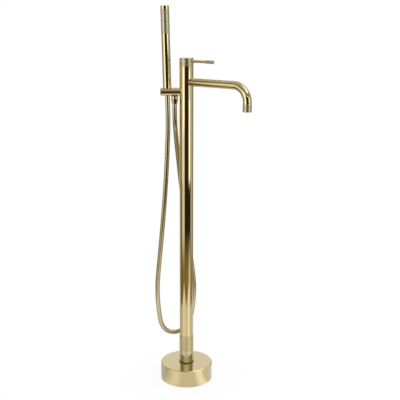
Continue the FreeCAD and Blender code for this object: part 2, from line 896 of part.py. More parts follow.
spout_body = doc.addObject("PartDesign::Body", "spout_blank")
spout_path = spout_body.newObject("Sketcher::SketchObject", "spout_path")
spout_path.AttachmentSupport = (origin_plane(spout_body, "XZ_Plane"), "")
spout_path.MapMode = "FlatFace"
bend_centre = Vector(spout_bend_x.value, spout_bend_z.value, 0)
bend_start = Vector(spout_bend_x.value, spout_height.value, 0)
bend_end = Vector(s.spout_reach.value, spout_bend_z.value, 0)
bend_circle = Part.Circle(bend_centre, Vector(0, 0, 1), s.spout_bend.value)
spout_path.addGeometry(Part.LineSegment(Vector(0, spout_height.value, 0), bend_start))
spout_path.addGeometry(Part.ArcOfCircle(bend_circle, 0, math.pi / 2))
spout_path.addGeometry(
    Part.LineSegment(bend_end, Vector(s.spout_reach.value, spout_end.value, 0))
)
for rule in (
    Sketcher.Constraint("PointOnObject", 0, 1, -2),
    Sketcher.Constraint("Horizontal", 0),
    Sketcher.Constraint("Vertical", 2),
    Sketcher.Constraint("Tangent", 0, 2, 1, 2),
    Sketcher.Constraint("Tangent", 1, 1, 2, 1),
):
    spout_path.addConstraint(rule)
for rule, part in (
    (Sketcher.Constraint("DistanceY", -1, 1, 0, 1, spout_height.value), spout_height),
    (Sketcher.Constraint("Radius", 1, s.spout_bend.value), s.spout_bend),
    (Sketcher.Constraint("DistanceX", -1, 1, 2, 2, s.spout_reach.value), s.spout_reach),
    (Sketcher.Constraint("DistanceY", -1, 1, 2, 2, spout_end.value), spout_end),
):
    index = spout_path.addConstraint(rule)
    spout_path.setExpression(f"Constraints[{index}]", part.text)

spout_section = circle(
    spout_body, "spout_section", "YZ_Plane", s.spout_radius, ZERO, spout_height
)
spout_section.addGeometry(
    Part.Circle(
        Vector(0, spout_height.value, 0),
        Vector(0, 0, 1),
        s.spout_radius.value - s.spout_wall.value,
    )
)
spout_section.addConstraint(Sketcher.Constraint("Coincident", 0, 3, 1, 3))
spout_bore = s.spout_radius - s.spout_wall
bore_rule = spout_section.addConstraint(Sketcher.Constraint("Radius", 1, spout_bore.value))
spout_section.setExpression(f"Constraints[{bore_rule}]", spout_bore.text)
spout_pipe = spout_body.newObject("PartDesign::AdditivePipe", "spout_pipe")
spout_pipe.Profile = spout_section
spout_pipe.Spine = (spout_path, ["Edge1", "Edge2", "Edge3"])
doc.recompute()
saddle_radius = s.column_radius + s.seat_gap
spout_saddle = rod(
    "spout_saddle",
    saddle_radius,
    s.spout_radius * 4,
    (ZERO, ZERO, spout_height - s.spout_radius * 2),
)
keep(cut("spout_tube", spout_body, [spout_saddle]), "spout_tube")

# The nipple carries the water from the valve body and centres the spout's root.
spigot_foot = valve_radius - s.spigot_depth
spigot_shoulder = saddle_radius + s.seat_gap - spigot_foot
seal_place = s.spigot_depth * 0.5
groove_half = s.seal_radius
groove_radius = s.spigot_radius - s.seal_radius
spigot = turned(
    "spout_nipple",
    [
        (s.spigot_bore, 0),
        (s.spigot_radius, 0),
        (s.spigot_radius, seal_place - groove_half),
        (groove_radius, seal_place - groove_half),
        (groove_radius, seal_place + groove_half),
        (s.spigot_radius, seal_place + groove_half),
        (s.spigot_radius, spigot_shoulder),
        (spout_bore, spigot_shoulder),
        (spout_bore, spigot_shoulder + s.spigot_length),
        (s.spigot_bore, spigot_shoulder + s.spigot_length),
    ],
    (spigot_foot, 0, spout_height),
    facing(ZERO),
)
keep(spigot, "spout_nipple")

seal = ring(
    "spout_seal",
    s.spigot_radius + s.slip_fit,
    groove_radius,
    seal_place - groove_half,
    seal_place + groove_half,
    (spigot_foot, 0, spout_height),
    facing(ZERO),
)
keep(seal, "spout_seal")

# Knurled sleeve on the spout's end, spigoted into the tube.
sleeve_length = s.outlet_sleeve_length
outlet_sleeve_radius = s.spout_radius + s.outlet_sleeve_step
outlet_bore_radius = spout_bore - s.outlet_bore_step
spigot_end = sleeve_length + s.outlet_run - s.seat_gap * 2
outlet_sleeve = turned(
    "outlet_sleeve",
    [
        (outlet_bore_radius, 0),
        (outlet_sleeve_radius - s.sleeve_edge, 0),
        (outlet_sleeve_radius, s.sleeve_edge),
        (outlet_sleeve_radius, sleeve_length - s.sleeve_edge),
        (outlet_sleeve_radius - s.sleeve_edge, sleeve_length),
        (spout_bore, sleeve_length),
        (spout_bore, spigot_end),
        (outlet_bore_radius - s.spout_wall, spigot_end),
        (outlet_bore_radius - s.spout_wall, s.aerator_recess + s.aerator_height),
        (outlet_bore_radius, s.aerator_recess + s.aerator_height),
    ],
    (s.spout_reach, 0, outlet_height),
)
keep(outlet_sleeve, "outlet_sleeve")

# The aerator is a short cup with rings of jets in its face.
aerator = doc.addObject("PartDesign::Body", "aerator")
aerator_plan = circle(aerator, "aerator_plan", "XY_Plane", outlet_bore_radius)
aerator_pad = aerator.newObject("PartDesign::Pad", "aerator_pad")
aerator_pad.Profile = aerator_plan
aerator_pad.setExpression("Length", s.aerator_height.text)
doc.recompute()
aerator_cup_plan = circle(
    aerator,
    "aerator_cup_plan",
    "XY_Plane",
    outlet_bore_radius - s.spout_wall,
    up=s.aerator_plate,
)
aerator_cup = aerator.newObject("PartDesign::Pocket", "aerator_cup")
aerator_cup.Profile = aerator_cup_plan
aerator_cup.Type = "ThroughAll"
aerator_cup.Reversed = True
doc.recompute()
aerator_rings = []
for name, spacing, count in (("inner", 1.0, 6), ("middle", 2.0, 12), ("outer", 3.0, 18)):
    jet_plan = circle(
        aerator,
        f"aerator_{name}_plan",
        "XY_Plane",
        s.aerator_hole_radius,
        x=outlet_bore_radius * (0.24 * spacing),
    )
    jet = aerator.newObject("PartDesign::Pocket", f"aerator_{name}_jet")
    jet.Profile = jet_plan
    jet.Type = "ThroughAll"
    jet.Reversed = True
    doc.recompute()
    jets = aerator.newObject("PartDesign::PolarPattern", f"aerator_{name}_jets")
    jets.Originals = [jet]
    jets.Axis = (origin_plane(aerator, "Z_Axis"), [""])
    jets.Angle = 360
    jets.Occurrences = count
    aerator.Tip = jets
    doc.recompute()
place(aerator, (s.spout_reach, 0, outlet_height + s.aerator_recess))
keep(aerator, "aerator")

# ---------------------------------------------------------------- handset holder

# The holder is a level bar. The handset's cone nut hangs in its upright bore.
lean_turn = Rotation(Vector(0, 0, 1), s.holder_angle.value) * Rotation(
    Vector(0, 1, 0), s.handset_lean.value
)
port_offset = s.column_radius + s.port_reach
handset_offset = port_offset + s.handset_spacing
holder_end = handset_offset + s.holder_overhang
handset_foot = holder_height + s.holder_radius - s.handset_seat
handset_at = along(s.holder_angle, handset_offset, handset_foot)
holder_root = saddle_radius * 0.5
liner_outer = s.cone_top_radius + s.moving_gap + s.liner_wall
holder_under = holder_height - s.holder_radius
port_at = along(s.holder_angle, port_offset, holder_under)

holder_blank = turned(
    "holder_blank",
    [
        (0, holder_root),
        (s.holder_radius, holder_root),
        (s.holder_radius, holder_end - s.holder_edge),
        (s.holder_radius - s.holder_edge, holder_end),
        (0, holder_end),
    ],
    (0, 0, holder_height),
    facing(s.holder_angle),
)
holder_saddle = rod(
    "holder_saddle",
    saddle_radius,
    s.holder_radius * 4,
    (ZERO, ZERO, holder_height - s.holder_radius * 2),
)
liner_bore = rod(
    "holder_liner_bore", liner_outer, s.holder_radius * 4, handset_at, lean_turn * DOWN
)
handset_flat = rod(
    "holder_handset_flat",
    s.handset_radius + s.moving_gap,
    s.holder_radius * 4,
    along(s.holder_angle, handset_offset, handset_foot - s.moving_gap),
    lean_turn,
)
port_hole = rod("holder_port_hole", s.port_radius, s.port_depth, port_at)
stud_hole = rod(
    "holder_stud_hole",
    s.stud_radius,
    s.column_radius + s.stud_length,
    (0, 0, holder_height),
    facing(s.holder_angle),
)
water_hole = rod(
    "holder_water_hole",
    s.stud_bore,
    port_offset - s.column_radius,
    along(s.holder_angle, s.column_radius, holder_height),
    facing(s.holder_angle),
)
drop_hole = rod("holder_drop_hole", s.port_bore, s.holder_radius, port_at)
holder = cut(
    "holder_arm",
    holder_blank,
    [
        holder_saddle,
        liner_bore,
        handset_flat,
        port_hole,
        stud_hole,
        water_hole,
        drop_hole,
    ],
)
keep(holder, "holder_arm")

# Hollow stud through the column's wall, from the valve body into the holder.
stud_foot = valve_radius - s.stud_depth
holder_stud = ring(
    "holder_stud",
    s.stud_radius,
    s.stud_bore,
    0,
    s.column_radius + s.stud_length - stud_foot,
    along(s.holder_angle, stud_foot, holder_height),
    facing(s.holder_angle),
)
keep(holder_stud, "holder_stud")

# The liner's cone is drawn downwards from the handset's lower end, and it is
# trimmed to the holder's round, so it never stands out of it.
liner_blank = turned(
    "liner_blank",
    [
        (s.cone_top_radius + s.moving_gap, s.cone_gap + s.moving_gap),
        (liner_outer, s.cone_gap + s.moving_gap),
        (liner_outer, s.holder_radius * 4),
        (s.cone_end_radius + s.moving_gap, s.holder_radius * 4),
        (s.cone_end_radius + s.moving_gap, s.cone_gap + s.cone_length),
    ],
    handset_at,
    lean_turn * DOWN,
)
liner_trim = rod(
    "liner_trim",
    s.holder_radius - s.seat_gap,
    holder_end,
    (0, 0, holder_height),
    facing(s.holder_angle),
)
liner = doc.addObject("Part::Common", "holder_liner")
liner.Base = liner_blank
liner.Tool = liner_trim
keep(liner, "holder_liner")

# ---------------------------------------------------------------- hose outlet

# Threaded nipple that points down, with a collar against the holder.
outlet_nipple = turned(
    "outlet_nipple",
    [
        (s.port_bore, 0),
        (s.port_radius, 0),
        (s.port_radius, s.port_drop - s.collar_height),
        (s.collar_radius, s.port_drop - s.collar_height),
        (s.collar_radius, s.port_drop),
        (s.port_radius, s.port_drop),
        (s.port_radius, s.port_drop + s.port_depth),
        (s.port_bore, s.port_drop + s.port_depth),
    ],
    along(s.holder_angle, port_offset, holder_under - s.port_drop),
)
keep(outlet_nipple, "outlet_nipple")

nut_crown = holder_under - s.collar_height - s.seat_gap
nut_foot = nut_crown - s.nut_length
nipple_end = holder_under - s.port_drop
nut_seat = nipple_end - s.washer_thickness - nut_foot
hose_nut = turned(
    "hose_nut",
    [
        (s.barb_radius, 0),
        (s.nut_tail_radius, 0),
        (s.nut_radius, s.nut_length - s.nut_land),
        (s.nut_radius, s.nut_length),
        (s.port_radius, s.nut_length),
        (s.port_radius, nut_seat),
        (s.barb_radius, nut_seat),
    ],
    along(s.holder_angle, port_offset, nut_foot),
)
keep(hose_nut, "hose_nut")

outlet_washer = ring(
    "outlet_washer",
    s.port_radius,
    s.port_bore,
    0,
    s.washer_thickness,
    along(s.holder_angle, port_offset, nipple_end - s.washer_thickness),
)
keep(outlet_washer, "outlet_washer")

outlet_barb = ring(
    "outlet_barb",
    s.barb_radius,
    s.barb_bore,
    0,
    nut_seat,
    along(s.holder_angle, port_offset, nut_foot),
)
keep(outlet_barb, "outlet_barb")

# ---------------------------------------------------------------- diverter

# A quarter turn cartridge in the back of the valve body, worked by a knob.
diverter_foot = valve_radius - s.diverter_depth
diverter_face = s.column_radius + s.diverter_rise - diverter_foot
diverter_bore = s.diverter_spindle_radius + s.running_fit
diverter_body = turned(
    "diverter_cartridge",
    [
        (0, 0),
        (s.diverter_radius, 0),
        (s.diverter_radius, diverter_face),
        (diverter_bore, diverter_face),
        (diverter_bore, diverter_face - s.diverter_spindle_depth),
        (0, diverter_face - s.diverter_spindle_depth),
    ],
    along(s.diverter_angle, diverter_foot, holder_height),
    facing(s.diverter_angle),
)
keep(diverter_body, "diverter_cartridge")

collar_blank = ring(
    "diverter_collar_blank",
    s.diverter_collar_radius,
    s.diverter_radius,
    holder_root,
    s.column_radius + s.diverter_collar_length,
    (0, 0, holder_height),
    facing(s.diverter_angle),
)
collar_saddle = rod(
    "diverter_collar_saddle",
    saddle_radius,
    s.holder_radius * 4,
    (ZERO, ZERO, holder_height - s.holder_radius * 2),
)
keep(cut("diverter_collar", collar_blank, [collar_saddle]), "diverter_collar")

diverter_spindle_foot = (
    s.column_radius + s.diverter_rise - s.diverter_spindle_depth + s.moving_gap
)
knob_foot = s.column_radius + s.diverter_collar_length + s.moving_gap
diverter_spindle = turned(
    "diverter_spindle",
    [
        (0, 0),
        (s.diverter_spindle_radius, 0),
        (s.diverter_spindle_radius, knob_foot + s.knob_bore_depth - diverter_spindle_foot),
        (0, knob_foot + s.knob_bore_depth - diverter_spindle_foot),
    ],
    along(s.diverter_angle, diverter_spindle_foot, holder_height),
    facing(s.diverter_angle),
)
keep(diverter_spindle, "diverter_spindle")

knob = turned(
    "diverter_knob",
    [
        (s.diverter_spindle_radius, 0),
        (s.knob_radius - s.sleeve_edge, 0),
        (s.knob_radius, s.sleeve_edge),
        (s.knob_radius, s.knob_length - s.sleeve_edge * 2),
        (s.knob_radius - s.sleeve_edge * 2, s.knob_length),
        (0, s.knob_length),
        (0, s.knob_bore_depth),
        (s.diverter_spindle_radius, s.knob_bore_depth),
    ],
    along(s.diverter_angle, knob_foot, holder_height),
    facing(s.diverter_angle),
)
keep(knob, "diverter_knob")

# ---------------------------------------------------------------- handset

# Handset pieces share one origin: the centre of the handset's lower end.
grip_end = s.handset_length - s.handset_ring_length
grip_start = grip_end - s.grip_length
core_radius = s.handset_radius - s.handset_core_step
handset_bore = core_radius - s.handset_core_wall
face_top = s.handset_length - s.face_recess
face_foot = face_top - s.face_thickness
core_top = face_foot
ring_bore = core_radius

handset_tube_blank = turned(
    "handset_tube_blank",
    [
        (handset_bore, s.handset_floor),
        (0, s.handset_floor),
        (0, 0),
        (s.handset_radius, 0),
        (s.handset_radius, grip_start),
        (core_radius, grip_start),
        (core_radius, core_top),
        (handset_bore, core_top),
    ],
    handset_at,
    lean_turn,
)
tail_down = lean_turn * DOWN
tail_blank = rod("tail_blank", s.tail_radius, s.tail_length, handset_at, tail_down)
tail_bore_low = rod("tail_bore_low", s.tail_bore, s.tail_length + 1, handset_at, tail_down)
tail_bore_high = rod(
    "tail_bore_high", s.tail_bore, s.handset_floor + 1, handset_at, lean_turn
)
handset_tube_solid = joined("handset_tube_solid", [handset_tube_blank, tail_blank])
handset_tube = cut("handset_tube", handset_tube_solid, [tail_bore_low, tail_bore_high])
keep(handset_tube, "handset_tube")

grip = ring(
    "handset_grip",
    s.handset_radius + s.grip_step,
    core_radius,
    grip_start,
    grip_end,
    handset_at,
    lean_turn,
    edge=s.sleeve_edge,
)
keep(grip, "handset_grip")

top_ring = turned(
    "handset_ring",
    [
        (ring_bore, grip_end),
        (s.handset_radius, grip_end),
        (s.handset_radius, s.handset_length - s.cap_edge),
        (s.handset_radius - s.cap_edge, s.handset_length),
        (ring_bore - s.face_recess, s.handset_length),
        (ring_bore - s.face_recess, face_top),
        (ring_bore, face_top),
    ],
    handset_at,
    lean_turn,
)
keep(top_ring, "handset_ring")

# Spray face: a disc with three rings of jets round a middle one.
spray = doc.addObject("PartDesign::Body", "spray_face")
spray_plan = circle(spray, "spray_plan", "XY_Plane", ring_bore)
spray_pad = spray.newObject("PartDesign::Pad", "spray_pad")
spray_pad.Profile = spray_plan
spray_pad.setExpression("Length", s.face_thickness.text)
doc.recompute()
for name, spacing, count in (("inner", 1.0, 5), ("middle", 2.0, 10), ("outer", 3.0, 15)):
    jet_plan = circle(
        spray, f"spray_{name}_plan", "XY_Plane", s.jet_radius, x=ring_bore * (0.26 * spacing)
    )
    jet = spray.newObject("PartDesign::Pocket", f"spray_{name}_jet")
    jet.Profile = jet_plan
    jet.Type = "ThroughAll"
    jet.Reversed = True
    doc.recompute()
    jets = spray.newObject("PartDesign::PolarPattern", f"spray_{name}_jets")
    jets.Originals = [jet]
    jets.Axis = (origin_plane(spray, "Z_Axis"), [""])
    jets.Angle = 360
    jets.Occurrences = count
    spray.Tip = jets
    doc.recompute()
lean_x = sine(s.handset_lean) * face_foot
spray_at = (
    cosine(s.holder_angle) * (handset_offset + lean_x),
    sine(s.holder_angle) * (handset_offset + lean_x),
    handset_foot + cosine(s.handset_lean) * face_foot,
)
place(spray, spray_at, lean_turn)
keep(spray, "spray_face")

# Inner tube that carries the water up to the spray face.
waterway_top = face_foot - s.face_thickness
waterway_collar = waterway_top - s.face_thickness
waterway = turned(
    "handset_waterway",
    [
        (s.waterway_radius - s.waterway_wall, s.handset_floor),
        (s.waterway_radius, s.handset_floor),
        (s.waterway_radius, waterway_collar),
        (handset_bore - s.slip_fit, waterway_collar),
        (handset_bore - s.slip_fit, waterway_top),
        (s.waterway_radius - s.waterway_wall, waterway_top),
    ],
    handset_at,
    lean_turn,
)
keep(waterway, "handset_waterway")

# Pieces below the handset are drawn with their own +Z pointing down its axis.
check_valve = ring(
    "non_return_valve",
    s.tail_bore,
    s.tail_bore * 0.5,
    s.tail_length - s.valve_insert_length,
    s.tail_length,
    handset_at,
    lean_turn * DOWN,
)
keep(check_valve, "non_return_valve")

cone_foot = s.cone_gap + s.cone_length
barb_head = s.tail_length + s.washer_thickness
cone_nut = turned(
    "cone_nut",
    [
        (s.tail_radius, s.cone_gap),
        (s.cone_top_radius, s.cone_gap),
        (s.cone_end_radius, cone_foot),
        (s.barb_radius + s.running_fit, cone_foot),
        (s.barb_radius + s.running_fit, barb_head + s.moving_gap),
        (s.tail_radius, barb_head + s.moving_gap),
    ],
    handset_at,
    lean_turn * DOWN,
)
keep(cone_nut, "cone_nut")

tail_washer = ring(
    "tail_washer",
    s.tail_radius,
    s.tail_bore,
    s.tail_length,
    barb_head,
    handset_at,
    lean_turn * DOWN,
)
keep(tail_washer, "tail_washer")

# The swivel stem stays with the hose while the handset turns round it.
swivel = ring(
    "hose_swivel",
    s.barb_radius,
    s.barb_bore,
    barb_head + s.moving_gap,
    cone_foot,
    handset_at,
    lean_turn * DOWN,
)
keep(swivel, "hose_swivel")

# ---------------------------------------------------------------- hose

# The hose leaves the outlet nut, hangs down behind the column, loops back
# under it and climbs to the cone nut. Its points stay as chosen, except that
# its two ends lie on the faces of the two nuts.
handset_axis = lean_turn.multVec(Vector(0, 0, 1))
hose_start = Vector(*[part.value for part in port_at])
hose_start.z = nut_foot.value
handset_base = Vector(*[part.value for part in handset_at])
hose_end = handset_base - handset_axis * cone_foot.value
HOSE_POINTS = [
    hose_start,
    hose_start + Vector(0, 0, -44),
    Vector(-32.4, -10.3, 748.7),
    Vector(-39.6, 8.8, 669.2),
    Vector(-42.1, 25.3, 579.2),
    Vector(-39.8, 36.9, 503.9),
    Vector(-33.9, 44.8, 425.4),
    Vector(-24.4, 50.7, 350.1),
    Vector(-16.2, 54.0, 280.5),
    Vector(-17.6, 51.5, 219.7),
    Vector(-25.8, 48.1, 168.8),
    Vector(-36.1, 37.5, 138.5),
    Vector(-53.4, 18.0, 124.2),
    Vector(-70.7, -5.8, 128.6),
    Vector(-81.6, -23.6, 149.6),
    Vector(-84.2, -32.8, 199.3),
    Vector(-84.7, -38.6, 267.7),
    Vector(-79.0, -37.5, 340.3),
    Vector(-71.7, -35.0, 407.2),
    Vector(-59.9, -35.1, 504.8),
    Vector(-49.8, -34.1, 608.6),
    Vector(-42.8, -34.5, 703.9),
    hose_end - handset_axis * 75,
    hose_end,
]


def bent_line(points):
    """Straight runs joined by tangent arcs, each as large as its runs allow."""
    edges = []
    radii = []
    last = points[0]
    for before, corner, after in zip(points, points[1:], points[2:]):
        back = before - corner
        ahead = after - corner
        reach = 0.45 * min(back.Length, ahead.Length)
        half_turn = (math.pi - back.getAngle(ahead)) / 2
        radii.append(reach / math.tan(half_turn))
        back.normalize()
        ahead.normalize()
        enter = corner + back * reach
        leave = corner + ahead * reach
        inward = (back + ahead).normalize()
        gap = radii[-1] / math.cos(half_turn) - radii[-1]
        edges.append(Part.LineSegment(last, enter).toShape())
        edges.append(Part.Arc(enter, corner + inward * gap, leave).toShape())
        last = leave
    edges.append(Part.LineSegment(last, points[-1]).toShape())
    return Part.Wire(edges), radii


hose_line, hose_radii = bent_line(HOSE_POINTS)
hose_section = Part.Circle(HOSE_POINTS[0], Vector(0, 0, -1), s.hose_radius.value)
hose_section.Axis = HOSE_POINTS[1] - HOSE_POINTS[0]
hose_shape = hose_line.makePipeShell([Part.Wire(hose_section.toShape())], True, False)
hose = doc.addObject("Part::Feature", "shower_hose")
hose.Shape = hose_shape
hose.Placement = Placement()
keep(hose, "shower_hose")

# ---------------------------------------------------------------- checks and files

doc.recompute()
faults = []
for thing in doc.Objects:
    if "Invalid" in thing.State or "Error" in thing.State:
        faults.append(f"{thing.Name}: {thing.State}")
for piece in pieces:
    if piece.Shape.isNull() or not piece.Shape.isValid():
        faults.append(f"{piece.Label}: no sound shape")
if faults:
    raise RuntimeError("the model has faults: " + "; ".join(faults))

smallest = min(hose_radii)
print("hose radii:", [round(radius) for radius in hose_radii], "least", round(smallest, 1))
expected = math.pi * s.hose_radius.value**2 * hose_line.Length
print("hose length", round(hose_line.Length, 1))
print("hose volume over section times length", round(hose.Shape.Volume / expected, 5))

os.makedirs("parts", exist_ok=True)
for piece in pieces:
    piece.Shape.exportStep(f"parts/{piece.Label}.step")
    solids = len(piece.Shape.Solids)
    print(f"{piece.Label}: {solids} solid, {piece.Shape.Volume / 1000:.2f} cm3")
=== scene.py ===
import math

import bmesh
import bpy
import numpy as np
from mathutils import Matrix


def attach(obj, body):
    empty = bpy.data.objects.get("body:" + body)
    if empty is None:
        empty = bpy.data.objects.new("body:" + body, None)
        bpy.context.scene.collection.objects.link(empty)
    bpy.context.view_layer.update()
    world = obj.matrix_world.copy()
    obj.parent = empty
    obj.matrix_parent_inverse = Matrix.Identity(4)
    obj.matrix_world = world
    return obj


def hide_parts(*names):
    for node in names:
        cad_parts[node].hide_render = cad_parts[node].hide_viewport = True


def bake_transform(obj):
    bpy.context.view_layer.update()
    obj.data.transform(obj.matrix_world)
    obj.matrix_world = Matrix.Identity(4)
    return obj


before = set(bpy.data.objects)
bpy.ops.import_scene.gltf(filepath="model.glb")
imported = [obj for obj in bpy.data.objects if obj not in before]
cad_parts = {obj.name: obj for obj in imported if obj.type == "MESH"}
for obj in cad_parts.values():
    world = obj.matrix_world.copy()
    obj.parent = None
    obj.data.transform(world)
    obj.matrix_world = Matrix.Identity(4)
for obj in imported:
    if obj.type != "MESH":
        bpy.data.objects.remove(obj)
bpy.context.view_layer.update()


# ---------------------------------------------------------------- floor flange and screws
# A plate of zinc plated steel lies on the floor under the cover and takes four
# floor bolts. The block's cap screws and all set screws are of the same steel.

def colour(sheet_value):
    """sRGB hex to the linear colour that shaders take.

    Each channel is its share of 255. A dark one is divided by 12.92. Any other
    is raised by 0.055, divided by 1.055 and taken to the power of 2.4.
    """
    parts = [int(sheet_value[i : i + 2], 16) / 255 for i in (1, 3, 5)]
    light = [c / 12.92 if c <= 0.04045 else ((c + 0.055) / 1.055) ** 2.4 for c in parts]
    return (*light, 1.0)


def add(tree, kind, values=None, links=None, **settings):
    """Add one shader node, with its settings, its sockets' values and its links."""
    node = tree.nodes.new(kind)
    for name, value in settings.items():
        setattr(node, name, value)
    for socket, value in (values or {}).items():
        node.inputs[socket].default_value = value
    for socket, source in (links or {}).items():
        tree.links.new(source, node.inputs[socket])
    return node


def new_material(name):
    """Empty node material, with its tree and its shader."""
    material = bpy.data.materials.new(name)
    material.use_nodes = True
    tree = material.node_tree
    tree.nodes.clear()
    shader = add(tree, "ShaderNodeBsdfPrincipled")
    add(tree, "ShaderNodeOutputMaterial", links={"Surface": shader.outputs[0]})
    return material, tree, shader


def metal(name, light, deep, *, patch, smooth, rough, haze, line, depth, coat=0.0):
    """Metal with two drifting tones, drifting roughness and fine lines round it.

    The colour goes from light to deep over patches of the size patch, and the
    roughness from smooth to rough over smears of the size haze. The lines are
    line apart and depth high. All sizes are in metres. Real buffing and lathe
    lines are hundredths of a millimetre apart. They are drawn 0.4 to 1.2 mm
    apart, so that they show.
    """
    material, tree, shader = new_material(name)
    place = add(tree, "ShaderNodeTexCoord").outputs["Object"]
    drift = add(
        tree,
        "ShaderNodeTexNoise",
        {"Scale": 1 / patch, "Detail": 3.0, "Roughness": 0.6},
        {"Vector": place},
    )
    tone = add(
        tree,
        "ShaderNodeMix",
        {6: colour(light), 7: colour(deep)},
        {0: drift.outputs["Fac"]},
        data_type="RGBA",
    )
    tree.links.new(tone.outputs[2], shader.inputs["Base Color"])
    smears = add(
        tree,
        "ShaderNodeTexNoise",
        {"Scale": 1 / haze, "Detail": 5.0, "Roughness": 0.65, "Distortion": 0.6},
        {"Vector": place},
    )
    usual_low, usual_high = 0.35, 0.7  # most of a noise's values lie between these
    gloss = add(
        tree,
        "ShaderNodeMapRange",
        {"From Min": usual_low, "From Max": usual_high, "To Min": smooth, "To Max": rough},
        {"Value": smears.outputs["Fac"]},
    )
    tree.links.new(gloss.outputs[0], shader.inputs["Roughness"])
    stretched = 0.03 / line  # a line is about 33 spacings long
    stretch = add(
        tree,
        "ShaderNodeMapping",
        {"Scale": (stretched, stretched, 1 / line)},
        {"Vector": place},
    )
    lines = add(
        tree,
        "ShaderNodeTexNoise",
        {"Scale": 1.0, "Detail": 2.0},
        {"Vector": stretch.outputs[0]},
    )
    relief = add(
        tree,
        "ShaderNodeBump",
        {"Strength": 1.0, "Distance": depth},
        {"Height": lines.outputs["Fac"]},
    )
    tree.links.new(relief.outputs[0], shader.inputs["Normal"])
    shader.inputs["Metallic"].default_value = 1.0
    shader.inputs["Coat Weight"].default_value = coat
    lacquer_roughness = 0.04
    shader.inputs["Coat Roughness"].default_value = lacquer_roughness
    return material


def finish(material, *names):
    """Give CAD nodes a material."""
    for name in names:
        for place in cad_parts[name].material_slots:
            place.material = material


# Mild steel, barrel plated with zinc: pale, slightly blue and satin.
zinc = metal(
    "zinc_plated_steel", "#C4C8CC", "#A9AFB5",
    patch=0.02, smooth=0.28, rough=0.42, haze=0.01, line=0.0006, depth=4e-6,
)
finish(zinc, "floor_flange", "block_screws", "column_set_screws", "cap_set_screw")


# ---------------------------------------------------------------- inlet block
# A turned block of brass with two threaded sockets. The column slides over its
# stub. It stays as it came off the lathe, so it is warmer and duller.

# Free cutting brass, machined and left bare: fine lathe lines and a warm tarnish.
bare_brass = metal(
    "machined_brass", "#D3B169", "#B28B45",
    patch=0.018, smooth=0.2, rough=0.36, haze=0.008, line=0.0004, depth=8e-6,
)
finish(bare_brass, "inlet_block")


# ---------------------------------------------------------------- base cover and column
# The cover is spun from brass sheet and hides the flange. The column is a drawn
# tube, and a thin ring closes the gap at its foot. The cover and column are polished
# and lacquered. The ring's dark colour is painted shade for that gap.

# Pale brass, mirror polished under clear lacquer: sharp reflections, pale at
# grazing angles from the lacquer, with faint smears and buffing lines.
polished = metal(
    "polished_brass", "#E8D49F", "#DFCA91",
    patch=0.12, smooth=0.05, rough=0.08, haze=0.035, line=0.0012, depth=2e-7, coat=1.0,
)
finish(polished, "base_cover", "column_tube")

# The neck's brass is paler and finely brushed, so its stripes are soft and grey.
pale_brass = metal(
    "brushed_pale_brass", "#D8D0AE", "#C8BF9A",
    patch=0.03, smooth=0.1, rough=0.16, haze=0.01, line=0.0008, depth=1e-6, coat=0.5,
)
finish(pale_brass, "foot_neck")

# The ring is bare brass in a dark colour that is painted shade: it stands for the shadow and
# dark reflection in the gap between the neck and the cover.
gap_shade_brass = metal(
    "painted_gap_shade_brass", "#8F8152", "#7A6B40",
    patch=0.012, smooth=0.2, rough=0.34, haze=0.006, line=0.0005, depth=2e-6,
)
finish(gap_shade_brass, "cover_ring")


# ---------------------------------------------------------------- foot sleeve
# A sleeve on the column above the polished neck. A diamond knurl is rolled into
# it between two plain rims.

KNURL_PITCH = 0.0012  # a common tap knurl is 1.0 to 1.5 mm
# A real knurl is some tenths of a millimetre deep. It is drawn shallower, because
# the photograph's reads as smooth grey gold.
KNURL_DEPTH = 0.00004
RIM = 0.0007


def knurled(name, *, below, radius, low, high, above, foot=(0, 0, 0), axis=(0, 0, 1)):
    """Turned piece with a diamond knurl round it from one height to another.

    The points (radius, height) of below, the knurl and above make one profile
    that is turned about the axis. Round the knurl, columns and rows are half a
    pitch apart, and a point stands proud where column plus row is even and a
    knurl's depth lower where it is odd, so each diamond is a pyramid.
    """
    columns = 2 * round(math.tau * radius / KNURL_PITCH)
    rows = 2 * round((high - low - 2 * RIM) / KNURL_PITCH) + 1
    valley = radius - KNURL_DEPTH
    rolled = np.linspace(low + RIM, high - RIM, rows)
    radii = [r for r, _ in below] + [valley] + [0.0] * rows + [valley] + [r for r, _ in above]
    heights = [z for _, z in below] + [low] + list(rolled) + [high] + [z for _, z in above]
    first = len(below) + 1
    column = np.arange(columns)
    row = np.arange(rows)[:, None]
    proud = (column + row) % 2 == 0
    proud[[0, -1]] = False
    reach = np.repeat(np.array(radii)[:, None], columns, axis=1)
    reach[first : first + rows] = np.where(proud, radius, valley)
    height = np.repeat(np.array(heights)[:, None], columns, axis=1)
    angle = column * math.tau / columns
    flat = np.stack([reach * np.cos(angle), reach * np.sin(angle), height], axis=-1)
    across = np.cross((0.0, 1.0, 0.0), axis)
    across /= np.linalg.norm(across)
    basis = np.stack([across, np.cross(axis, across), axis])
    points = (flat @ basis).reshape(-1, 3) + np.array(foot)
    level = np.arange(len(radii) - 1)[:, None] * columns
    a = (level + column).ravel()
    b = (level + (column + 1) % columns).ravel()
    c = b + columns
    d = a + columns
    even = ((a // columns - first + a % columns) % 2 == 0)[:, None]
    one = np.where(even, np.stack([a, b, d], 1), np.stack([a, b, c], 1))
    two = np.where(even, np.stack([b, c, d], 1), np.stack([a, c, d], 1))
    return turned_mesh(name, points, np.concatenate([one, two]))


